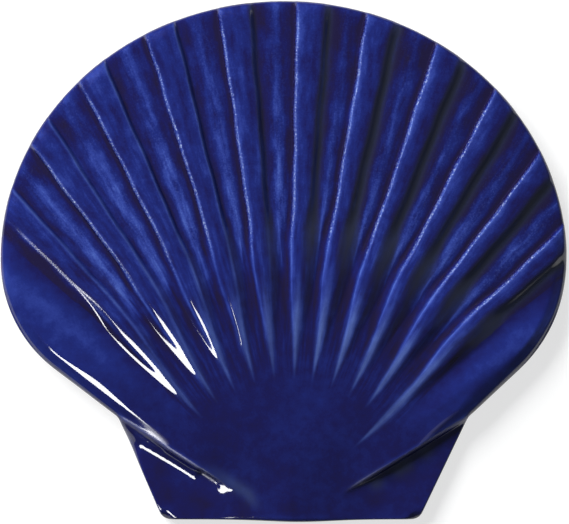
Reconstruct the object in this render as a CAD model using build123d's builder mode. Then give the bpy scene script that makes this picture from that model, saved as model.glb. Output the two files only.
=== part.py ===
from build123d import *
import math
import os

# Overall size of the fired tile, in millimetres
TILE_WIDTH = 127.0  # across the fan at its widest
TILE_HEIGHT = 116.8  # bottom edge to the top of the rim
WIDEST_RISE = 58.7  # the fan's widest line, above the bottom edge

# Fan outline: a half-elliptic rim, a round lobe at each side, then straight edges past the necks to the foot
LEFT_LOBE_RADIUS = 30.5
LEFT_LOBE_TURN = 52.8  # how far the lobe's arc runs round, in degrees
LEFT_LOBE_EDGE = 18.0  # straight edge from the arc to the neck
RIGHT_LOBE_RADIUS = 33.5
RIGHT_LOBE_TURN = 46.9
RIGHT_LOBE_EDGE = 15.7
NECK_BLEND_RADIUS = 25.0
FOOT_X = 1.6  # the foot stands a little to the right
FOOT_RISE = 5.6  # top of the foot, above the bottom edge
FOOT_TOP_WIDTH = 21.2
FOOT_WIDTH = 14.0  # at the bottom edge
FOOT_BLEND_RADIUS = 6.0
FOOT_CORNER_RADIUS = 5.0

# Ears: a flat plate behind the foot of the fan
EAR_THICKNESS = 4.0
LEFT_EAR_FOOT = 27.1  # bottom corner, from the middle of the tile
RIGHT_EAR_FOOT = 30.4
EAR_SETBACK = 0.5  # the ears end this far above the bottom edge
EAR_OVERLAP = 6.0  # how far the plate runs on behind the fan, past the necks
EAR_CORNER_RADIUS = 2.4
EAR_EDGE_CHAMFER = 0.6

# A hollow strip leads from each ear up to the step of the fan
COVE_WIDTH = 4.2
COVE_RISE = 1.5
COVE_SINK = 0.15  # its outer edge starts just under the ear's face
COVE_RUN_ON = 7.0  # past the knee, until it ends inside the foot

# Crowned face of the fan
FACE_CROWN = 8.4  # thickness under the middle of the face, between the ribs
CROWN_RADIUS = 760.0
RIM_EDGE_RADIUS = 1.6
BACK_EDGE_CHAMFER = 0.5

# Ribs that fan out from the hinge
HINGE_X = 1.2
HINGE_RISE = 7.1  # above the bottom edge
RIB_BEARINGS = (-44.2, -34.5, -25.0, -15.4, -6.2, 3.1, 11.4, 20.4, 29.3, 38.7, 48.1)  # cut by hand, uneven
RIB_ANGLE = 3.6  # width of a rib's top, in degrees
RIB_TIP_SHARE = 0.45  # a rib's top starts with this share of that angle
RIB_HEIGHT = 1.5
RIB_FLANK = 38.0  # slope of a rib's sides, in degrees
RIB_SHOULDER_CHAMFER = 0.7
RIB_TIP_RADIUS = 25.0  # from the hinge
RIB_FULL_RADIUS = 56.0  # the rib has its whole height from here out
RIB_END_RADIUS = 3.2  # how the ribs roll down to the rim
RIB_SETBACK = 0.3  # the ribs end this far inside the rim's wall
RIB_FLARE = 0.36  # how far the inner ends spread
FLARE_RADIUS = 62.0  # the ribs run straight from here out

# Low swellings along the middle of each channel
SWELL_ANGLE = 5.0  # width of its root, in degrees
SWELL_HEIGHT = 0.25
SWELL_ROOT_DEPTH = 1.0
SWELL_TIP_RADIUS = 46.0
SWELL_FULL_RADIUS = 68.0

# Broad smooth lobes outside the last ribs
LOBE_GAP = 8.6  # from the last rib's middle line to the lobe's shoulder, in degrees
LOBE_ANGLE = 25.0
LOBE_TIP_SHARE = 1.0
LOBE_HEIGHT = 1.3
LOBE_FLANK = 16.0
LOBE_SHOULDER_RADIUS = 8.0

# Every ridge is rooted in the face, starts just under it and runs out past the rim
GROWING_SECTIONS = 4  # from the tip to where the ridge is full
ROOT_DEPTH = 2.0
TIP_SINK = 0.3
OVERRUN = 6.0
HEADROOM = 0.3  # from the ribs' tops to the crowned form that rolls their ends

BOTTOM = -TILE_HEIGHT / 2
TOP = TILE_HEIGHT / 2
WIDEST_Y = BOTTOM + WIDEST_RISE
HINGE = Vector(HINGE_X, BOTTOM + HINGE_RISE)


def lobe_corner(side, radius, turn, edge, inset):
    """Centre of the lobe at one side, -1 left or 1 right, and the neck where its straight edge ends."""
    centre = Vector(side * (TILE_WIDTH / 2 - radius), WIDEST_Y)
    angle = math.radians(turn)
    outward = Vector(side * math.cos(angle), -math.sin(angle))
    along = Vector(-side * math.sin(angle), -math.cos(angle))
    return centre, centre + outward * (radius - inset) + along * edge


def domed_fan(crown, edge_radius, inset):
    """The fan's outline, drawn in by an inset, as a crowned slab with its upper edge rolled over."""
    left_centre, left_neck = lobe_corner(-1, LEFT_LOBE_RADIUS, LEFT_LOBE_TURN, LEFT_LOBE_EDGE, inset)
    right_centre, right_neck = lobe_corner(1, RIGHT_LOBE_RADIUS, RIGHT_LOBE_TURN, RIGHT_LOBE_EDGE, inset)
    half_top = FOOT_TOP_WIDTH / 2 - inset
    half_foot = FOOT_WIDTH / 2 - inset
    left_knee = Vector(FOOT_X - half_top, BOTTOM + FOOT_RISE)
    right_knee = Vector(FOOT_X + half_top, BOTTOM + FOOT_RISE)
    left_toe = Vector(FOOT_X - half_foot, BOTTOM + inset)
    right_toe = Vector(FOOT_X + half_foot, BOTTOM + inset)

    with BuildPart() as slab:
        with BuildSketch() as outline:
            with BuildLine():
                EllipticalCenterArc(
                    (0, WIDEST_Y), TILE_WIDTH / 2 - inset, TOP - WIDEST_Y - inset, 0, arc_size=180
                )
                left_lobe = CenterArc(left_centre, LEFT_LOBE_RADIUS - inset, 180, LEFT_LOBE_TURN)
                right_lobe = CenterArc(right_centre, RIGHT_LOBE_RADIUS - inset, 0, -RIGHT_LOBE_TURN)
                Polyline(
                    left_lobe @ 1,
                    left_neck,
                    left_knee,
                    left_toe,
                    right_toe,
                    right_knee,
                    right_neck,
                    right_lobe @ 1,
                )
            make_face()
            for corners, radius in (
                ((left_neck, right_neck), NECK_BLEND_RADIUS),
                ((left_knee, right_knee), FOOT_BLEND_RADIUS),
                ((left_toe, right_toe), FOOT_CORNER_RADIUS),
            ):
                for corner in corners:
                    fillet(outline.vertices().sort_by_distance(corner)[0], radius)
        extrude(amount=2 * crown)
        with Locations((0, 0, crown - CROWN_RADIUS)):
            Sphere(CROWN_RADIUS, rotation=(90, 0, 0), mode=Mode.INTERSECT)
        crowned = slab.faces().filter_by(GeomType.SPHERE)[0]
        fillet(crowned.edges(), edge_radius)
    return slab


def stations(tip_radius, full_radius):
    """Distances from the hinge at which a ridge gets a section, each with its share of the full height."""
    end_radius = TOP - HINGE.Y + OVERRUN
    for index in range(GROWING_SECTIONS):
        grown = index / (GROWING_SECTIONS - 1)
        yield tip_radius + (full_radius - tip_radius) * grown, grown * grown * (3 - 2 * grown)
    yield (full_radius + end_radius) / 2, 1.0
    yield end_radius, 1.0


def across_ridge(angle, radius):
    """Upright plane across a ridge on the crowned face, at one distance from the hinge."""
    spread = 1 + RIB_FLARE * max(0.0, 1 - radius / FLARE_RADIUS) ** 2
    bearing = math.radians(angle * spread)
    middle = HINGE + Vector(radius * math.sin(bearing), radius * math.cos(bearing))
    level = FACE_CROWN - CROWN_RADIUS + math.sqrt(CROWN_RADIUS**2 - middle.length**2)
    return Plane(
        origin=(middle.X, middle.Y, level),
        x_dir=(-math.cos(bearing), math.sin(bearing), 0),
        z_dir=(math.sin(bearing), math.cos(bearing), 0),
    )


def raise_rib(angle, top_angle, tip_share, height, flank, soften, shoulder):
    """Loft a rib or a lobe out past the rim: a flat top, and shoulders softened by a fillet or a chamfer."""
    sections = []
    for radius, grown in stations(RIB_TIP_RADIUS, RIB_FULL_RADIUS):
        rise = (height + TIP_SINK) * grown - TIP_SINK
        top_share = tip_share + (1 - tip_share) * grown
        half_top = radius * math.tan(math.radians(top_angle / 2)) * top_share
        half_root = half_top + (rise + ROOT_DEPTH) / math.tan(math.radians(flank))
        with BuildSketch(across_ridge(angle, radius)) as profile:
            with BuildLine():
                Polyline(
                    (-half_root, -ROOT_DEPTH),
                    (half_root, -ROOT_DEPTH),
                    (half_top, rise),
                    (-half_top, rise),
                    close=True,
                )
            make_face()
            shoulders = profile.vertices().group_by(Axis.Y)[-1]
            soften(shoulders, shoulder * min(1.0, radius / RIB_FULL_RADIUS))
        sections.append(profile.sketch)
    return loft(sections, mode=Mode.PRIVATE)


def raise_swelling(angle):
    """Loft the low swelling along the middle of a channel: its section is one flat arc."""
    sections = []
    for radius, grown in stations(SWELL_TIP_RADIUS, SWELL_FULL_RADIUS):
        rise = (SWELL_HEIGHT + TIP_SINK) * grown - TIP_SINK
        half_root = radius * math.tan(math.radians(SWELL_ANGLE / 2))
        with BuildSketch(across_ridge(angle, radius)) as profile:
            with BuildLine():
                root = Line((-half_root, -SWELL_ROOT_DEPTH), (half_root, -SWELL_ROOT_DEPTH))
                ThreePointArc(root @ 1, (0, rise), root @ 0)
            make_face()
        sections.append(profile.sketch)
    return loft(sections, mode=Mode.PRIVATE)


# The fan's body, and the higher crowned form that the ribs are trimmed to
fan = domed_fan(FACE_CROWN, RIM_EDGE_RADIUS, 0)
rib_form = domed_fan(FACE_CROWN + RIB_HEIGHT + HEADROOM, RIB_END_RADIUS, RIB_SETBACK)

# Eleven ribs, a low swelling between each two, and a broad lobe at each side
ridges = [
    raise_rib(bearing, RIB_ANGLE, RIB_TIP_SHARE, RIB_HEIGHT, RIB_FLANK, chamfer, RIB_SHOULDER_CHAMFER)
    for bearing in RIB_BEARINGS
]
ridges += [raise_swelling((left + right) / 2) for left, right in zip(RIB_BEARINGS, RIB_BEARINGS[1:])]
ridges += [
    raise_rib(bearing + side * (LOBE_GAP + LOBE_ANGLE / 2), LOBE_ANGLE, LOBE_TIP_SHARE, LOBE_HEIGHT,
              LOBE_FLANK, fillet, LOBE_SHOULDER_RADIUS)
    for bearing, side in ((RIB_BEARINGS[0], -1), (RIB_BEARINGS[-1], 1))
]
with BuildPart() as relief:
    add(ridges)
    add(rib_form.part, mode=Mode.INTERSECT)

# The flat ears at each side of the foot, their sides in line with the necks
with BuildPart() as ears:
    with BuildSketch() as ear_face:
        neck_left = lobe_corner(-1, LEFT_LOBE_RADIUS, LEFT_LOBE_TURN, LEFT_LOBE_EDGE, 0)[1]
        neck_right = lobe_corner(1, RIGHT_LOBE_RADIUS, RIGHT_LOBE_TURN, RIGHT_LOBE_EDGE, 0)[1]
        corner_left = Vector(-LEFT_EAR_FOOT, BOTTOM + EAR_SETBACK)
        corner_right = Vector(RIGHT_EAR_FOOT, BOTTOM + EAR_SETBACK)
        with BuildLine():
            Polyline(
                corner_left,
                corner_right,
                neck_right + (neck_right - corner_right).normalized() * EAR_OVERLAP,
                neck_left + (neck_left - corner_left).normalized() * EAR_OVERLAP,
                close=True,
            )
        make_face()
        for corner in (corner_left, corner_right):
            fillet(ear_face.vertices().sort_by_distance(corner)[0], EAR_CORNER_RADIUS)
    extrude(amount=EAR_THICKNESS)
    chamfer(ears.faces().sort_by(Axis.Z)[-1].edges(), EAR_EDGE_CHAMFER)

# Hollow strips along the step, trimmed to the ears
with BuildPart() as coves:
    for side, neck in ((-1, neck_left), (1, neck_right)):
        knee = Vector(FOOT_X + side * FOOT_TOP_WIDTH / 2, BOTTOM + FOOT_RISE)
        along = (knee - neck).normalized()
        outward = Vector(-side * along.Y, side * along.X)
        with BuildSketch(Plane((neck.X, neck.Y, EAR_THICKNESS), x_dir=outward, z_dir=along * side)):
            with BuildLine():
                hollow = TangentArc((COVE_WIDTH, -COVE_SINK), (0, COVE_RISE), tangent=(-1, 0))
                Polyline(
                    hollow @ 1,
                    (-ROOT_DEPTH, COVE_RISE),
                    (-ROOT_DEPTH, -ROOT_DEPTH),
                    (COVE_WIDTH, -ROOT_DEPTH),
                    hollow @ 0,
                )
            make_face()
        extrude(amount=side * ((knee - neck).length + COVE_RUN_ON))
    with BuildSketch():
        add(ear_face.sketch)
    extrude(amount=FACE_CROWN, mode=Mode.INTERSECT)

# One fired piece
with BuildPart() as scallop_tile:
    add(fan.part)
    add(ears.part)
    chamfer(scallop_tile.faces().sort_by(Axis.Z)[0].edges(), BACK_EDGE_CHAMFER)
    add(coves.part)
    add(relief.part)

scallop_tile.part.label = "scallop_tile"
print("solids", len(scallop_tile.part.solids()), "valid", scallop_tile.part.is_valid)
print("volume in cubic centimetres", scallop_tile.part.volume / 1000)
print("box", scallop_tile.part.bounding_box())

os.makedirs("parts", exist_ok=True)
export_step(scallop_tile.part, "parts/scallop_tile.step")
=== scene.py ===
# %% [markdown]
# # A glazed scallop shell tile
#
# The real object is one piece of fired clay: a scallop shell about 127 mm wide that is bedded into a pool
# wall as a mosaic figure. A press gives the clay its ribs, a cobalt glaze runs off the high edges and
# collects in the channels, and the back stays bare so that mortar can hold it.
#
# The CAD part gives the true size and place. This lesson models the glazed face finely enough for its
# highlights, then gives it the glaze, the light and the camera of the photograph.

# %% Load the CAD part
import math

import bpy
import numpy as np
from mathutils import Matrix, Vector


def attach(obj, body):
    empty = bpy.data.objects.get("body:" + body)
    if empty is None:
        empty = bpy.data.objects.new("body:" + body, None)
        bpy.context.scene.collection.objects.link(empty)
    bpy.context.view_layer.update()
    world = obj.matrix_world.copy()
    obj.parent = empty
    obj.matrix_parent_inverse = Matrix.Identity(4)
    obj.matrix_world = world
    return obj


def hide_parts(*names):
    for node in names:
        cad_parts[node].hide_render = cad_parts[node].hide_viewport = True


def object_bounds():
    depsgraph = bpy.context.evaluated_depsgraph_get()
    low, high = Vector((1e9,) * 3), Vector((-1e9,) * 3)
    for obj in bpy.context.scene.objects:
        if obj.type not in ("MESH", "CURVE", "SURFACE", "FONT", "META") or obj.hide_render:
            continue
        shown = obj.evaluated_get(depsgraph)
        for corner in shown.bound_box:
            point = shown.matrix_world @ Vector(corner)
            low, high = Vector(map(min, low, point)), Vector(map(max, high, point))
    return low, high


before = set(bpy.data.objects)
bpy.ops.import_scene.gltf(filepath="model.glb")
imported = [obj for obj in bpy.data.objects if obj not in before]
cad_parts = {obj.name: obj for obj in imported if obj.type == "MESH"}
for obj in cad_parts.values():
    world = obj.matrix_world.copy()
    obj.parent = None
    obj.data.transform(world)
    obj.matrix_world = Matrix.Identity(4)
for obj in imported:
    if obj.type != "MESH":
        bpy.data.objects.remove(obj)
cad_low, cad_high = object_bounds()
cad_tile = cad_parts["scallop_tile"]
MM = 0.001
print("CAD box in mm", [round(side / MM, 1) for side in cad_high - cad_low])

# %% [markdown]
# ## The outline
#
# The shell's outline is already right in the CAD part, so it isn't drawn a second time. From the hinge, where
# the ribs would meet, every direction leaves the shell through its wall just once. So one ray in each
# direction, low down where the wall is upright, reads the outline off. The points are then spaced along its
# length, because the straight edges near the necks point almost at the hinge and would get too few, and
# more closely where the sides of the ribs run out to the rim. Only the foot is softened: there the press has
# left one shallow curve between the ears.

# %% Read the outline
HINGE = (1.2, -51.3)  # where the ribs' middle lines meet, in mm
WALL_LEVEL = 2.0  # height of the rays, in mm
RAYS = 3600
COLUMNS = 960
RIB_BEARINGS = (-44.4, -34.8, -25.2, -15.6, -6.4, 2.8, 11.2, 20.2, 29.1, 38.5, 48.0)  # degrees from straight up
RIB_SIDE = (1.3, 3.5)  # each side of a rib lies between these angles from its middle line
FOOT_CURVE = (3.7, 10.0, 0.5)  # middle, half-width and depth of the foot's curve, in mm

turns = np.linspace(0, 2 * math.pi, RAYS, endpoint=False)
rays = np.column_stack((np.sin(turns), np.cos(turns)))
start = Vector((HINGE[0], HINGE[1], WALL_LEVEL)) * MM
hits = [cad_tile.ray_cast(start, (ray[0], ray[1], 0.0)) for ray in rays]
wall = np.array([hit[1][:2] for hit in hits if hit[0]]) / MM
closed = np.vstack((wall, wall[:1]))
paces = np.linalg.norm(np.diff(closed, axis=0), axis=1)
from_ribs = np.abs(np.degrees(turns + math.pi)[:, None] % 360 - 180 - np.array(RIB_BEARINGS)).min(axis=1)
paces *= 1 + 0.6 * (from_ribs < 6) + 2.2 * ((from_ribs > RIB_SIDE[0]) & (from_ribs < RIB_SIDE[1]))
walked = np.concatenate(([0], np.cumsum(paces)))
stops = np.linspace(0, walked[-1], COLUMNS, endpoint=False)
outline = np.column_stack([np.interp(stops, walked, closed[:, axis]) for axis in (0, 1)])
middle, half_width, depth = FOOT_CURVE
low_end = outline[:, 1].min()
foot = (np.abs(outline[:, 0] - middle) < 2 * half_width) & (outline[:, 1] < low_end + 1)
bulge = np.exp(-(((outline[foot, 0] - middle) / half_width) ** 2))
outline[foot, 1] = low_end + depth * (1 - bulge)
print("outline of", COLUMNS, "points, wall hit by", len(wall), "of", RAYS, "rays")

# %% [markdown]
# ## A flat sheet of rings
#
# The face could be sculpted, or lofted rib by rib. But ribs that fan out from one point ask for a mesh whose
# edges fan out as well: then each rib runs along the edges and its shoulders stay crisp. So a circle is
# laid on the outline, and extruded inwards again and again, each ring smaller than the last, until the
# rings close at the hinge. They lie closest at the rim, where the face will roll over steeply.

# %% Lay a circle on the outline and extrude it inwards
ROLL_RINGS = 10  # rings in the part that rolls over at the rim
ROLL_REACH = 0.036  # how far that part reaches in, as a share of the way to the hinge
FACE_RINGS = 86
LAST_RING = 0.006


def pick(piece):
    """Make one object the only selected and active one."""
    bpy.ops.object.select_all(action="DESELECT")
    piece.select_set(True)
    bpy.context.view_layer.objects.active = piece


bpy.ops.object.select_all(action="DESELECT")
bpy.ops.mesh.primitive_circle_add(vertices=COLUMNS, radius=(cad_high - cad_low).x / 2)
tile = bpy.context.object
tile.name = "glazed_scallop"
flat_outline = np.column_stack((outline, np.zeros(COLUMNS))) * MM
tile.data.vertices.foreach_set("co", flat_outline.astype(np.float32).ravel())

roll_share = 1 - ROLL_REACH * (1 - np.cos(np.linspace(0, math.pi / 2, ROLL_RINGS + 1)))
face_share = np.linspace(1 - ROLL_REACH, LAST_RING, FACE_RINGS + 1)
ring_shares = np.concatenate((roll_share, face_share[1:]))

bpy.ops.object.mode_set(mode="EDIT")
bpy.ops.mesh.select_all(action="SELECT")
for outer, inner in zip(ring_shares, ring_shares[1:]):
    shrink = inner / outer
    bpy.ops.mesh.extrude_edges_indiv()
    bpy.ops.transform.resize(
        value=(shrink, shrink, 1), center_override=(HINGE[0] * MM, HINGE[1] * MM, 0)
    )
bpy.ops.mesh.merge(type="CENTER")
bpy.ops.mesh.select_all(action="SELECT")
bpy.ops.mesh.normals_make_consistent(inside=False)
bpy.ops.object.mode_set(mode="OBJECT")
print("sheet of", len(tile.data.polygons), "faces")

# %% [markdown]
# ## Where each point lies on the shell
#
# Everything on the face follows from three measures of a point: how far it is from the outline, how far it
# is above or below the step between the fan and the flat ears, and its distance and bearing from the
# hinge. They are worked out once, in millimetres, for the whole sheet.

# %% Measure the sheet
LEFT_STEP = ((-37.1, -34.9), (-9.0, -52.8), (-5.4, -60.0))  # neck, knee and toe of the fan
RIGHT_STEP = ((41.4, -34.9), (12.2, -52.8), (8.2, -60.0))


def segment_distance(points, start, end):
    """Distance of each point from one straight stretch."""
    start, along = np.array(start), np.array(end) - np.array(start)
    share = np.clip((points - start) @ along / (along @ along), 0, 1)
    return np.linalg.norm(points - start - share[:, None] * along, axis=1)


def side_of(points, start, end):
    """Positive for points to the left of the line from start to end."""
    along, away = np.array(end) - np.array(start), points - np.array(start)
    return along[0] * away[:, 1] - along[1] * away[:, 0]


def smooth_step(value, low, high):
    """0 below low, 1 above high, and a soft S between."""
    share = np.clip((value - low) / (high - low), 0, 1)
    return share * share * (3 - 2 * share)


def measure(points):
    """Distance from the outline, signed distance from the step, radius and bearing from the hinge."""
    edge = np.full(len(points), 1e9)
    for start, end in zip(outline, np.roll(outline, -1, axis=0)):
        edge = np.minimum(edge, segment_distance(points, start, end))
    step = np.full(len(points), 1e9)
    on_fan = np.full(len(points), True)
    for (neck, knee, toe), hand in ((LEFT_STEP, 1), (RIGHT_STEP, -1)):
        near = np.minimum(segment_distance(points, neck, knee), segment_distance(points, knee, toe))
        beyond = (hand * side_of(points, neck, knee) < 0) & (hand * side_of(points, knee, toe) < 0)
        step = np.minimum(step, near)
        on_fan &= ~beyond
    from_hinge = points - np.array(HINGE)
    radius = np.linalg.norm(from_hinge, axis=1)
    bearing = np.degrees(np.arctan2(from_hinge[:, 0], from_hinge[:, 1]))
    return edge, np.where(on_fan, step, -step), radius, bearing


corners = np.empty(len(tile.data.vertices) * 3, np.float32)
tile.data.vertices.foreach_get("co", corners)
sheet = corners.reshape(-1, 3)[:, :2].astype(float) / MM
edge, step, radius, bearing = measure(sheet)
print("deepest point is", round(edge.max(), 1), "mm from the outline")

# %% [markdown]
# ## Raising the face
#
# A vertex group can hold a height as well as a skin weight. Each form of the shell gets its own group, with
# 1 where it is highest, and a Displace modifier that lifts the sheet by that much. So the form keeps a real
# height in millimetres that can be changed by itself: first the flat ears, then the crowned fan above
# them. Between the two lies a step, and the lobes at the fan's sides slope down to their outer edge.

# %% Tools for raising the sheet
def raise_form(name, heights):
    """Lift the sheet by these heights, in mm, through a vertex group and a Displace modifier."""
    top = heights.max()
    group = tile.vertex_groups.new(name=name)
    for index, weight in enumerate((heights / top).tolist()):
        group.add((index,), weight, "REPLACE")
    lift = tile.modifiers.new(name, "DISPLACE")
    lift.direction = "Z"
    lift.mid_level = 0
    lift.strength = top * MM
    lift.vertex_group = name
    pick(tile)
    bpy.ops.object.modifier_apply(modifier=name)
    print("raised", name, "by up to", round(top, 2), "mm")


def line_at(distance, width):
    """1 on a line, falling softly to 0 on both sides of it."""
    return np.exp(-((distance / width) ** 2))


def near_any(places, reach):
    """1 at any of these places on the sheet, falling softly to 0 around them."""
    return sum(line_at(np.linalg.norm(sheet - np.array(place), axis=1), reach) for place in places)


def rolled_edge(distance, roll):
    """How far a round edge has dropped at this distance from the outline."""
    inwards = np.clip(1 - distance / roll, 0, 1)
    return roll * (1 - np.sqrt(1 - inwards**2))


# %% Lift the ears
EAR_THICKNESS = 4.0
EAR_ROLL = 0.45  # the ears' edges are tight
NECK_ROLL = 2.4  # but soft just under the left neck
NECK_EDGES = ((-33.6, -40.5),)
NECK_REACH = 4.5
CORNER_ROLL = 2.6  # and at the corners
EAR_CORNERS = ((-26.2, -57.0), (29.4, -57.0))
CORNER_REACH = 1.3

ear_roll = EAR_ROLL + (NECK_ROLL - EAR_ROLL) * near_any(NECK_EDGES, NECK_REACH)
ear_roll += (CORNER_ROLL - EAR_ROLL) * near_any(EAR_CORNERS, CORNER_REACH)
ear_level = EAR_THICKNESS - rolled_edge(edge, ear_roll)
raise_form("ears", ear_level)

# %% Shape the step from the ears up to the fan
STEP_COVES = (0.3, 3.0)  # width of the hollow below the left step, near the knee and under the neck
COVE_WIDENS = (18, 20, 34)  # most of it within the first stretch, the rest within the second
RIGHT_COVE = 0.8  # the right step is crisp all along
STEP_EDGE = 0.35  # the step ends in a tight edge
DIMPLE = (-14.0, -51.6)  # here the hollow is wider again
DIMPLE_REACH = 1.6
DIMPLE_COVE = 1.6
STEP_FADES = (-22.0, -10.5)  # between these places the left step fades into a soft slope
RIGHT_FADES = (12.0, 26.0)  # and here the right one
SOFT_SLOPE = (-16.0, 16.0)  # which reaches from the ear well into the fan


def step_profile(distance, cove):
    """0 on the ears, a hollow slope up to the step's edge, a tight round, then 1 on the fan."""
    up = np.clip(distance / cove + 1, 0, 1)
    bend = 1 / (STEP_EDGE * (STEP_EDGE + cove))
    brow = bend * np.clip(STEP_EDGE - distance, 0, STEP_EDGE) ** 2
    return np.where(distance < 0, (1 - bend * STEP_EDGE**2) * (up + up**3) / 2, 1 - brow)


across, up_tile = sheet[:, 0], sheet[:, 1]
first, second, third = COVE_WIDENS
neck_share = 0.85 * smooth_step(np.abs(across), first, second)
neck_share += 0.15 * smooth_step(np.abs(across), second, third)
left_cove = STEP_COVES[0] + (STEP_COVES[1] - STEP_COVES[0]) * neck_share
cove = np.where(across > 0, RIGHT_COVE, left_cove)
cove += DIMPLE_COVE * near_any((DIMPLE,), DIMPLE_REACH)
faded = smooth_step(across, *STEP_FADES) * (1 - smooth_step(across, *RIGHT_FADES))
over_step = step_profile(step, cove) * (1 - faded) + smooth_step(step, *SOFT_SLOPE) * faded
print("step up to the fan, with a hollow of up to", round(cove.max(), 1), "mm below it")

# %% Slope the lobes' outer border
BEVEL_WIDTH = 2.9  # the lobes slope down along their outer edge
BEVEL_SLOPE = 0.7
BEVEL_TAPER = (62.0, 78.0)  # the slope narrows to nothing between these bearings
BEVEL_BENDS = (0.08, 2.0)  # half-width of the bend above the slope, along most of it and where it is softest
BEVEL_EDGES = ((-44.1, -30.2), (47.5, -29.5))  # the places where it is softest
BEVEL_REACH = 7.5
NECK_LEVEL = -35.2  # the lobes' outer edges end here
BORDER_ENDS = ((-27.4, -42.0), (31.5, -42.0))  # but their slope runs on towards these places
LOBE_STARTS = (44, 60)  # bearings between which the ribbed part gives way to the lobe
LOBE_STOPS = (80, 100)


def bevel(distance, width, bend):
    """How far a sloping border has dropped, with a bend of this half-width where it leaves the face."""
    into = np.clip(width + bend - distance, 0, None)
    return BEVEL_SLOPE * np.where(into < 2 * bend, into**2 / (4 * bend), into - bend)


lobe_edge = np.full(len(sheet), 1e9)  # distance from the lobes' outer edges
for start, end in zip(outline, np.roll(outline, -1, axis=0)):
    if min(start[1], end[1]) > NECK_LEVEL:
        lobe_edge = np.minimum(lobe_edge, segment_distance(sheet, start, end))
for (neck, _, _), border_end in zip((LEFT_STEP, RIGHT_STEP), BORDER_ENDS):
    lobe_edge = np.minimum(lobe_edge, segment_distance(sheet, neck, border_end))
turn = np.abs(bearing)
on_lobe = smooth_step(turn, *LOBE_STARTS) * (1 - smooth_step(turn, *LOBE_STOPS))
border_width = BEVEL_WIDTH * (1 - smooth_step(turn, *BEVEL_TAPER))
bend = BEVEL_BENDS[0] + (BEVEL_BENDS[1] - BEVEL_BENDS[0]) * near_any(BEVEL_EDGES, BEVEL_REACH)
lobe_border = bevel(lobe_edge, border_width, np.minimum(bend, 0.05 + border_width)) * on_lobe

# %% Lift the crowned fan
FAN_CROWN = 8.4
CROWN_RADIUS = 760.0
RIM_ROLL = 1.0  # the rim's edge is tight

crown = FAN_CROWN - (sheet**2).sum(axis=1) / (2 * CROWN_RADIUS)
fan_level = crown - rolled_edge(edge, RIM_ROLL) - lobe_border
raise_form("fan", np.clip(over_step * (fan_level - ear_level), 0, None))

# %% [markdown]
# ## Ribs and lobes
#
# The ribs were cut in the press tool by hand, so they waver a little and no two sides are quite alike: on the
# right half their right sides are broad and round, elsewhere steep. Each point needs only its nearest rib:
# the distance from that rib's middle line gives the flat top, the shoulder and the side. A loft for each rib
# would do as well, but its seams would show in the highlights.

# %% Find the nearest rib
RIB_TIP = 27.5  # distance from the hinge
RIB_FULL = 52.0
RIB_END = 3.0  # the ribs sink to the rim over this length
END_SINK = 0.45
FLARE = 0.36  # how far the inner ends of the ribs spread
FLARE_REACH = 62.0
WOBBLE = 0.05  # the ribs' lines waver by this many degrees

spread = 1 + FLARE * np.clip(1 - radius / FLARE_REACH, 0, None) ** 2
wobble = WOBBLE * (np.sin(0.23 * radius + 0.31 * bearing) + np.sin(0.47 * radius - 0.17 * bearing))
straight = bearing / spread + wobble * smooth_step(radius, 30, 60)
pitch = np.mean(np.diff(RIB_BEARINGS))
half_pitch = np.radians(pitch / 2) * radius
grown = smooth_step(radius, RIB_TIP, RIB_FULL)
on_top = over_step * (1 - END_SINK * (1 - smooth_step(edge, 0, RIB_END)))
aside = np.full(len(sheet), 1e9)  # signed distance from the nearest rib's middle line
for rib_bearing in RIB_BEARINGS:
    offset = np.radians(straight - rib_bearing) * radius
    aside = np.where(np.abs(offset) < np.abs(aside), offset, aside)
apart = np.abs(aside)
past_ribs = np.maximum(RIB_BEARINGS[0] - straight, straight - RIB_BEARINGS[-1])
print(len(RIB_BEARINGS), "ribs, on average", round(pitch, 2), "degrees apart")

# %% Lift the ribs
RIB_HALF_ANGLE = 1.8
RIB_HEIGHT = 1.5
TOP_ROUND = 0.2  # share of the height that a rib's rounded top falls to its shoulders
OUTER_FLANK = 1.0  # width of a rib's side near the rim, where it is steep
INNER_FLANK = 2.6  # half-way in
TIP_FLANK = 1.2  # and at its tip
FLANK_STEEPENS = (54, 65)  # distances from the hinge
SHOULDER = 0.2  # share of the side that lies inside the shoulder line, near the rim
OUTER_PART = (46, 60)
RIGHT_HALF = (-20, 15)  # bearings between which the left half gives way to the right
SOFT_SIDE = 1.4  # on the right half, the ribs' right sides are this much wider and rounder
SOFT_SHOULDER = 0.35
LOBE_FOOT = 4.0  # degrees from the last rib's middle line to the foot of the lobe beside it
LOBE_TOP = 10.5
HOLLOW_FILL = 0.76  # near the rim, the hollow between the first rib and its lobe is filled up this far
HOLLOW_RISES = (54, 66)
FLOOR_ROUND = 0.05  # how softly the filled floor meets the rib's side

shoulder_line = np.radians(RIB_HALF_ANGLE) * radius * smooth_step(radius, RIB_TIP - 5, 56)
flank = TIP_FLANK + (INNER_FLANK - TIP_FLANK) * grown
flank += (OUTER_FLANK - INNER_FLANK) * smooth_step(radius, *FLANK_STEEPENS) * (straight > RIB_BEARINGS[0])
flank = np.minimum(flank, np.clip(half_pitch - shoulder_line, 0.4, None) / (1 - SHOULDER))
to_right = smooth_step(bearing, *RIGHT_HALF)
outer = smooth_step(radius, *OUTER_PART)
soft = to_right * outer * (aside > 0)
flank *= 1 + SOFT_SIDE * soft
flat_top = np.clip(shoulder_line - (SHOULDER * outer + SOFT_SHOULDER * soft) * flank, 0.1, None)
rounding = (apart / np.clip(shoulder_line, 0.6, None)) ** 2
rib_top = 1 - TOP_ROUND * rounding / (1 + 0.4 * rounding)
rib_shape = rib_top * (1 - smooth_step(apart, flat_top, flat_top + flank))

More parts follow.
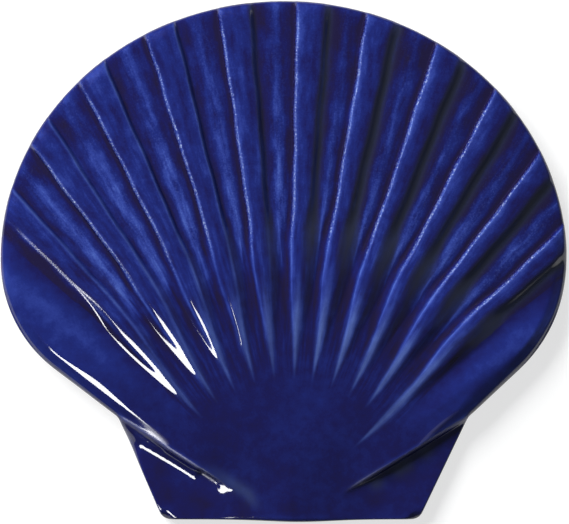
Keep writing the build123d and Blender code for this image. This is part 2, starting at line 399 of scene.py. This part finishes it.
before_first = straight < RIB_BEARINGS[0]
lobe_shape = smooth_step(past_ribs, LOBE_FOOT, LOBE_TOP) * (turn < 120)
filled = HOLLOW_FILL * smooth_step(radius, *HOLLOW_RISES) * before_first * (1 - lobe_shape)
meeting = FLOOR_ROUND * smooth_step(radius, 50, 54) * before_first
rib_shape = (rib_shape + filled + np.sqrt((rib_shape - filled) ** 2 + meeting**2)) / 2
raise_form("ribs", RIB_HEIGHT * rib_shape * grown * on_top)

# %% Lift the swellings and the lobes
SWELL_HEIGHT = 0.22
SWELL_GROWS = (46.0, 62.0)
LOBE_HEIGHT = 1.35
LOBE_GROWS = (25.0, 50.0)

in_channel = (past_ribs < 0) * smooth_step(apart, flat_top + 0.75 * flank, half_pitch)
raise_form("swellings", SWELL_HEIGHT * in_channel * smooth_step(radius, *SWELL_GROWS) * on_top)
lobe_grown = smooth_step(radius, *LOBE_GROWS) * (over_step * on_lobe + on_top * (1 - on_lobe))
raise_form("lobes", LOBE_HEIGHT * lobe_shape * lobe_grown)

# %% [markdown]
# ## How thick the glaze lies
#
# Molten glaze runs off an edge and gathers in a hollow, and its colour goes with its thickness: bright blue
# where it breaks over a shoulder, cobalt on the flat, near black in a pool. A painter could make a mask for
# that. Here the same measures that shaped the face give it, as values on every vertex that the material
# reads: how thin the glaze is, how far it has broken to grey, how streaky and grainy it has dried, and where
# it is dull. Painted light and shade go into the first two as well: on the right half each rib is painted
# paler on its lit left side and darker, with an olive grey band, on its shaded right side. Towards the
# outline all the values even out, so that the walls come out plain.

# %% Find the lines along the ribs
fan = smooth_step(step, -0.4, 0.6)
ribbed = fan * (past_ribs < LOBE_FOOT)
on_ribs = ribbed * grown
# the left shoulder, bright up to the rim, and beside it on the right half a pale halo of painted light on the
# ribs' lit side
from_left = aside + shoulder_line + 0.3 * flank * (1 - smooth_step(radius, 44, 70))
left_line = on_ribs * line_at(from_left, 0.36) * (0.35 + 0.65 * smooth_step(edge, 1, 7))
left_line *= np.where(straight < RIB_BEARINGS[0] + pitch / 2, 0.55, 1)  # fainter on the first rib
painted_light_halo = on_ribs * line_at(from_left, 1.5) * (from_left > 0) * to_right
left_trough = on_ribs * line_at(aside + shoulder_line + 0.8 * flank, 0.55 * flank)
# the right shoulder: a pale line on the left half; on the right half, painted shade: the rib's top darkened
# towards it and a dark olive band along its shaded side
right_line = on_ribs * line_at(aside - shoulder_line, 0.34) * (1 - to_right)
painted_shade_top = on_ribs * smooth_step(aside, -0.3 * shoulder_line, shoulder_line) * (apart < half_pitch) * to_right
painted_shade_band = ribbed * outer * line_at(aside - shoulder_line - 0.1 * flank, 0.45 * flank) * to_right
# the pale pointed tips; the last rib's reaches nearest to the hinge
last_rib = smooth_step(straight, RIB_BEARINGS[-2] + 4, RIB_BEARINGS[-1])
tip_end = RIB_TIP - 3 - 8 * last_rib
tip_width = 0.2 + 0.65 * smooth_step(radius, tip_end, tip_end + 14)
tips = ribbed * smooth_step(radius, tip_end, tip_end + 6) * (1 - smooth_step(radius, 36, 52 + 8 * last_rib))
tips *= line_at(aside + 0.3 * to_right, tip_width) * (0.8 + 0.3 * to_right)

# %% Find the lights and pools between the ribs, on the lobes and along the step
POOLS = ((-17.6, -54.6), (-9.6, -56.2), (-27.6, -46.4), (-26.4, -51.8),
         (20.5, -53.0), (27.5, -47.0), (1.5, -55.0))  # dark spots on the ears and the foot
GREY_SPOTS = ((27.5, -45.2), (25.4, -46.5), (20.8, -49.4), (31.7, -42.5))  # below the right step

crown_light = ribbed * (past_ribs < 0) * line_at(half_pitch - apart, 0.25 * half_pitch + 0.01)
crown_light *= smooth_step(radius, 44, 56) * (1 - 0.5 * smooth_step(radius, 66, 100))
channel = ribbed * (past_ribs < 0) * smooth_step(apart, flat_top + 0.4 * flank, flat_top + flank)
channel *= smooth_step(radius, 28, 46)
rim_pools = channel * (1 - crown_light) * line_at(edge - 4.0, 3.5)
lobe_light = fan * line_at(past_ribs - 0.85 * LOBE_TOP, 2.0) * smooth_step(radius, 36, 56)
lobe_hollow = fan * line_at(past_ribs - 0.9 * LOBE_FOOT, 2.0) * smooth_step(radius, 36, 56)
step_line = line_at(step - 0.5, 0.5) * (1 - faded)
step_line += 0.8 * line_at(step - 1.2, 1.3) * faded * (bearing < -60) * smooth_step(up_tile, -56.5, -52)
at_rim = 1 - smooth_step(edge, 0, 0.9)


# %% Store what the glaze does at each point
def keep_values(name, values):
    """Store one value per vertex where a material can read it."""
    layer = tile.data.attributes.new(name, "FLOAT", "POINT")
    layer.data.foreach_set("value", np.clip(values, 0, 1).astype(np.float32))
    print(name, "from", round(values.min(), 2), "to", round(values.max(), 2))


# how thin the glaze is, with painted light (the lit halos) and painted shade (the darker tops and olive bands
# on the shaded sides) mixed in
thinness_and_painted_light = 0.22 + (0.13 - 0.05 * ribbed * to_right) * fan * smooth_step(radius, 24, 54)
thinness_and_painted_light += (0.42 - 0.12 * to_right) * left_line + 0.25 * painted_light_halo + 0.28 * right_line
thinness_and_painted_light += 0.26 * crown_light - 0.24 * left_trough - 0.10 * rim_pools + 0.46 * tips
thinness_and_painted_light -= 0.11 * painted_shade_top * (1 - crown_light) + 0.12 * painted_shade_band
thinness_and_painted_light += 0.11 * lobe_light - 0.15 * lobe_hollow
thinness_and_painted_light -= 0.16 * channel * (1 - crown_light) + 0.12 * near_any(POOLS, 2.2)
thinness_and_painted_light += 0.07 * fan * line_at(edge - 0.9, 0.8) + 0.24 * step_line
keep_values("thinness_and_painted_light", thinness_and_painted_light + (0.3 - thinness_and_painted_light) * at_rim)

grey_spots = (step < 0) * near_any(GREY_SPOTS, 1.6)
# grey where the glaze breaks, plus painted shade: the olive grey band on the ribs' shaded right sides on the
# right half
grey_break_and_painted_shade = 0.4 * tips + 0.2 * right_line + 0.45 * painted_shade_band + 0.5 * step_line * faded + 0.4 * grey_spots
keep_values("greyness_with_painted_shade", grey_break_and_painted_shade * (1 - at_rim))
keep_values("streaky", ribbed * smooth_step(radius, 22, 34) * (0.6 + 0.4 * crown_light) * (1 - at_rim))
grains = ribbed * smooth_step(radius, 50, 62) * (0.12 + 0.88 * np.maximum(left_line, 0.15 * crown_light))
grains *= 1 - at_rim
keep_values("grainy", grains)

# dull where the grain is, on the step's brow, in its narrow foot, and where the lobes' border ends
brow = line_at(step - 0.2, 0.5) * np.maximum(1 - faded, smooth_step(across, 12, 18))
under_brow = line_at(step + 0.35, 0.4) * smooth_step(across, -19.5, -18.5) * (across < -15.4)
border_line = fan * line_at(lobe_edge - border_width, 0.4) * smooth_step(turn, 63, 66) * (border_width > 0.1)
keep_values("dull", np.max((0.68 * grains, brow, under_brow, 0.8 * border_line), axis=0))

# %% Store which way the streaks run
flow = tile.data.attributes.new("flow", "FLOAT_VECTOR", "POINT")
along_ribs = np.column_stack((np.radians(straight) * RIB_FULL, radius / 8, np.zeros(len(sheet))))
flow.data.foreach_set("vector", along_ribs.astype(np.float32).ravel())

# %% [markdown]
# ## Walls and back
#
# The face ends at the outline, at a height that changes from rib to channel. The border is extruded and
# pressed flat at two lower levels by scaling it to nothing along Z, then filled. A small bevel takes the
# sharpness off the edge on the ground, as a press tool leaves it.

# %% Extrude the border down and close the back
BACK_BEVEL = 0.5
WALL_RINGS = (1.6, 0.0)  # levels in mm

pick(tile)
bpy.ops.object.mode_set(mode="EDIT")
bpy.ops.mesh.select_mode(type="EDGE")
bpy.ops.mesh.select_all(action="DESELECT")
bpy.ops.mesh.select_non_manifold(extend=False, use_wire=False, use_multi_face=False,
                                 use_non_contiguous=False, use_verts=False)
for level in WALL_RINGS:
    bpy.ops.mesh.extrude_edges_indiv()
    bpy.ops.transform.resize(value=(1, 1, 0), center_override=(0, 0, level * MM))
bpy.ops.mesh.edge_face_add()
bpy.ops.mesh.select_mode(type="FACE")
bpy.ops.mesh.region_to_loop()
bpy.ops.mesh.bevel(offset=BACK_BEVEL * MM, segments=3, affect="EDGES")
bpy.ops.mesh.select_all(action="SELECT")
bpy.ops.mesh.normals_make_consistent(inside=False)
bpy.ops.object.mode_set(mode="OBJECT")
pick(tile)
bpy.ops.object.shade_smooth_by_angle(angle=math.radians(50))
print("tile of", len(tile.data.polygons), "faces, box",
      [round(side / MM, 1) for side in tile.dimensions])

# %% [markdown]
# ## Glaze and bare clay
#
# One material carries both: the glaze down the face and the walls, and the bare buff clay of the back below
# the line where the glaze was wiped off before firing. The glaze's colour comes from a ramp over its
# thinness, which carries painted light and shade as well, with noise of several sizes for the drift of the
# colour, and a fine grain where it is thin. Pale painted glints on that grain stand in for the sparkle of the
# light.

# %% Build the glaze
glaze = bpy.data.materials.new("cobalt_glaze")
glaze.use_nodes = True
nodes = glaze.node_tree.nodes
links = glaze.node_tree.links
nodes.clear()


def node(kind, **settings):
    """Add one shader node and set its values: sockets by name, everything else as a property."""
    made = nodes.new("ShaderNode" + kind)
    for name, value in settings.items():
        if name in made.inputs:
            made.inputs[name].default_value = value
        else:
            setattr(made, name, value)
    return made


def maths(operation, first, second, clamp=False):
    """A Math node on two inputs, each a socket or a number."""
    made = node("Math", operation=operation, use_clamp=clamp)
    for socket, value in zip(made.inputs, (first, second)):
        if isinstance(value, (int, float)):
            socket.default_value = value
        else:
            links.new(value, socket)
    return made.outputs[0]


def noise(scale, detail=3.0, roughness=0.5, where=None):
    """Noise on Object coordinates, with the scale in features per metre, or on other coordinates."""
    made = node("TexNoise", Scale=scale, Detail=detail, Roughness=roughness)
    links.new(where or place.outputs["Object"], made.inputs["Vector"])
    return made.outputs["Fac"]


place = node("TexCoord")
thin = node("Attribute", attribute_name="thinness_and_painted_light").outputs["Fac"]
greyness_with_painted_shade = node("Attribute", attribute_name="greyness_with_painted_shade").outputs["Fac"]
grainy = node("Attribute", attribute_name="grainy").outputs["Fac"]
drift = noise(90, 3)
mottle = noise(420, 4, 0.6)
grain = noise(2600, 2, 0.6)
streaks = noise(0.9, 3, 0.55, node("Attribute", attribute_name="flow").outputs["Vector"])
streaky = maths("MULTIPLY", 1.2, node("Attribute", attribute_name="streaky").outputs["Fac"])

tone = thin
for pattern, strength in ((drift, 0.32), (mottle, 0.30), (streaks, streaky)):
    tone = maths("ADD", tone, maths("MULTIPLY", maths("SUBTRACT", pattern, 0.5), strength))
speckle = maths("MULTIPLY", maths("SUBTRACT", grain, 0.5), maths("ADD", 0.12, maths("MULTIPLY", grainy, 0.8)))
tone = maths("ADD", tone, speckle, clamp=True)

GLAZE_TONES = (
    (0.00, (0.009, 0.006, 0.035)),  # pooled, near black with a violet cast
    (0.20, (0.007, 0.007, 0.072)),
    (0.40, (0.009, 0.016, 0.135)),  # even cobalt
    (0.60, (0.022, 0.040, 0.235)),
    (0.80, (0.045, 0.080, 0.330)),
    (1.00, (0.085, 0.145, 0.480)),  # thin, bright blue
)
ramp = node("ValToRGB")
for place_on_ramp, colour in GLAZE_TONES[1:-1]:
    ramp.color_ramp.elements.new(place_on_ramp)
for element, (place_on_ramp, colour) in zip(ramp.color_ramp.elements, GLAZE_TONES):
    element.position = place_on_ramp
    element.color = (*colour, 1)
links.new(tone, ramp.inputs["Fac"])
# the grey of broken glaze, also used for the painted shade of the olive bands
greyed_glaze_and_shade = node("Mix", data_type="RGBA")
links.new(greyness_with_painted_shade, greyed_glaze_and_shade.inputs["Factor"])
links.new(ramp.outputs["Color"], greyed_glaze_and_shade.inputs["A"])
greyed_glaze_and_shade.inputs["B"].default_value = (0.042, 0.058, 0.095, 1)
# painted glints: pale specks on the grainy shoulders, mixed over the glaze colour, that stand in for the
# light's sparkle
painted_glint = maths("MULTIPLY", maths("SUBTRACT", grain, 0.53), maths("POWER", grainy, 2.5))
painted_glint = maths("MULTIPLY", painted_glint, 6.0, clamp=True)
painted_sparkle_mix = node("Mix", data_type="RGBA")
links.new(painted_glint, painted_sparkle_mix.inputs["Factor"])
links.new(greyed_glaze_and_shade.outputs["Result"], painted_sparkle_mix.inputs["A"])
painted_sparkle_mix.inputs["B"].default_value = (0.42, 0.48, 0.64, 1)

GLOSSY = 0.06  # roughness of the clean glaze
DULLING = 0.5  # and how much a dull place adds
surface = node("BsdfPrincipled", IOR=1.55)
links.new(painted_sparkle_mix.outputs["Result"], surface.inputs["Base Color"])
dull = node("Attribute", attribute_name="dull").outputs["Fac"]
rough = maths("ADD", GLOSSY, maths("MULTIPLY", dull, DULLING))
links.new(rough, surface.inputs["Roughness"])
bump = node("Bump", Strength=0.3, Distance=0.0002)
links.new(maths("MULTIPLY", grain, grainy), bump.inputs["Height"])
links.new(bump.outputs["Normal"], surface.inputs["Normal"])

# %% Add the bare clay below the glaze line
GLAZE_LINE = 0.9  # height above the back, in mm
GLAZE_LINE_WAVER = 1.2
clay = node("BsdfPrincipled", Roughness=0.8)
clay.inputs["Base Color"].default_value = (0.56, 0.43, 0.31, 1)
height = node("SeparateXYZ")
links.new(place.outputs["Object"], height.inputs["Vector"])
waver = maths("MULTIPLY", maths("SUBTRACT", noise(160, 2), 0.5), GLAZE_LINE_WAVER * MM)
above = maths("SUBTRACT", maths("SUBTRACT", height.outputs["Z"], waver), GLAZE_LINE * MM)
glazed = maths("MULTIPLY", above, 1 / (0.15 * MM), clamp=True)
both = node("MixShader")
links.new(glazed, both.inputs["Fac"])
links.new(clay.outputs["BSDF"], both.inputs[1])
links.new(surface.outputs["BSDF"], both.inputs[2])
output = node("OutputMaterial")
links.new(both.outputs["Shader"], output.inputs["Surface"])
tile.data.materials.append(glaze)
print("glaze and clay of", len(nodes), "nodes")

# %% [markdown]
# ## Floor, light and camera
#
# The photograph looks straight down on a white ground. One bright window at the lower left makes the white
# streaks on the flanks that face it, and a broad soft light from the left shades the ribs.

# %% Set the floor
bpy.ops.object.select_all(action="DESELECT")
bpy.ops.mesh.primitive_plane_add(size=8, location=(0, 0, -0.0002))
floor = bpy.context.object
floor.name = "floor"
ground = bpy.data.materials.new("white_ground")
ground.use_nodes = True
nodes = ground.node_tree.nodes
links = ground.node_tree.links
nodes.clear()
matt = node("BsdfDiffuse", Color=(0.34, 0.34, 0.34, 1))
glow = node("Emission", Color=(1, 1, 1, 1))
seen = node("LightPath")
looking = maths("MAXIMUM", seen.outputs["Is Camera Ray"], seen.outputs["Is Glossy Ray"])
looking = maths("MAXIMUM", looking, seen.outputs["Is Transmission Ray"])
links.new(maths("MULTIPLY", looking, 0.7), glow.inputs["Strength"])
both = node("AddShader")
links.new(matt.outputs[0], both.inputs[0])
links.new(glow.outputs[0], both.inputs[1])
output = node("OutputMaterial")
links.new(both.outputs[0], output.inputs["Surface"])
floor.data.materials.append(ground)

# %% Set the lights
world = bpy.data.worlds.new("studio")
bpy.context.scene.world = world
world.use_nodes = True
world.node_tree.nodes["Background"].inputs["Color"].default_value = (0.8, 0.9, 1, 1)
world.node_tree.nodes["Background"].inputs["Strength"].default_value = 0.11


def area_light(name, compass, height, distance, width, depth, power, in_diffuse=True, in_glossy=True):
    """An area light that faces the tile from a compass angle (0 = +X, 90 = +Y) and a height, in degrees."""
    bpy.ops.object.select_all(action="DESELECT")
    turn, tilt = math.radians(compass), math.radians(height)
    spot = Vector((math.cos(turn) * math.cos(tilt), math.sin(turn) * math.cos(tilt), math.sin(tilt)))
    bpy.ops.object.light_add(type="AREA", location=spot * distance)
    lamp = bpy.context.object
    lamp.name = name
    lamp.rotation_mode = "QUATERNION"
    lamp.rotation_quaternion = spot.to_track_quat("Z", "Y")
    lamp.data.shape = "RECTANGLE"
    lamp.data.size, lamp.data.size_y = width, depth
    lamp.data.energy = power
    lamp.visible_diffuse = in_diffuse
    lamp.visible_glossy = in_glossy
    return lamp


area_light("soft_left", 132, 38, 1.1, 0.8, 0.6, 26, in_glossy=False)
area_light("window", 231, 46, 0.8, 0.27, 0.36, 6.8, in_diffuse=False)
area_light("pale_wall", 0, 25, 1.2, 1.6, 0.7, 0.2, in_diffuse=False)

# %% Set the camera
VIEW_WIDTH = 569 * 0.2244  # the photograph's frame at the tile, in mm
VIEW_CENTRE = (0.2, -0.1)
CAMERA_HEIGHT = 0.9
bpy.ops.object.camera_add(location=(VIEW_CENTRE[0] * MM, VIEW_CENTRE[1] * MM, CAMERA_HEIGHT))
camera = bpy.context.object
camera.data.sensor_width = 36
camera.data.lens = 36 * (CAMERA_HEIGHT - 0.004) / (VIEW_WIDTH * MM)
bpy.context.scene.camera = camera
bpy.context.scene.view_settings.view_transform = "Standard"

# %% Hand the tile to the frame
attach(tile, "root")
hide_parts("scallop_tile")
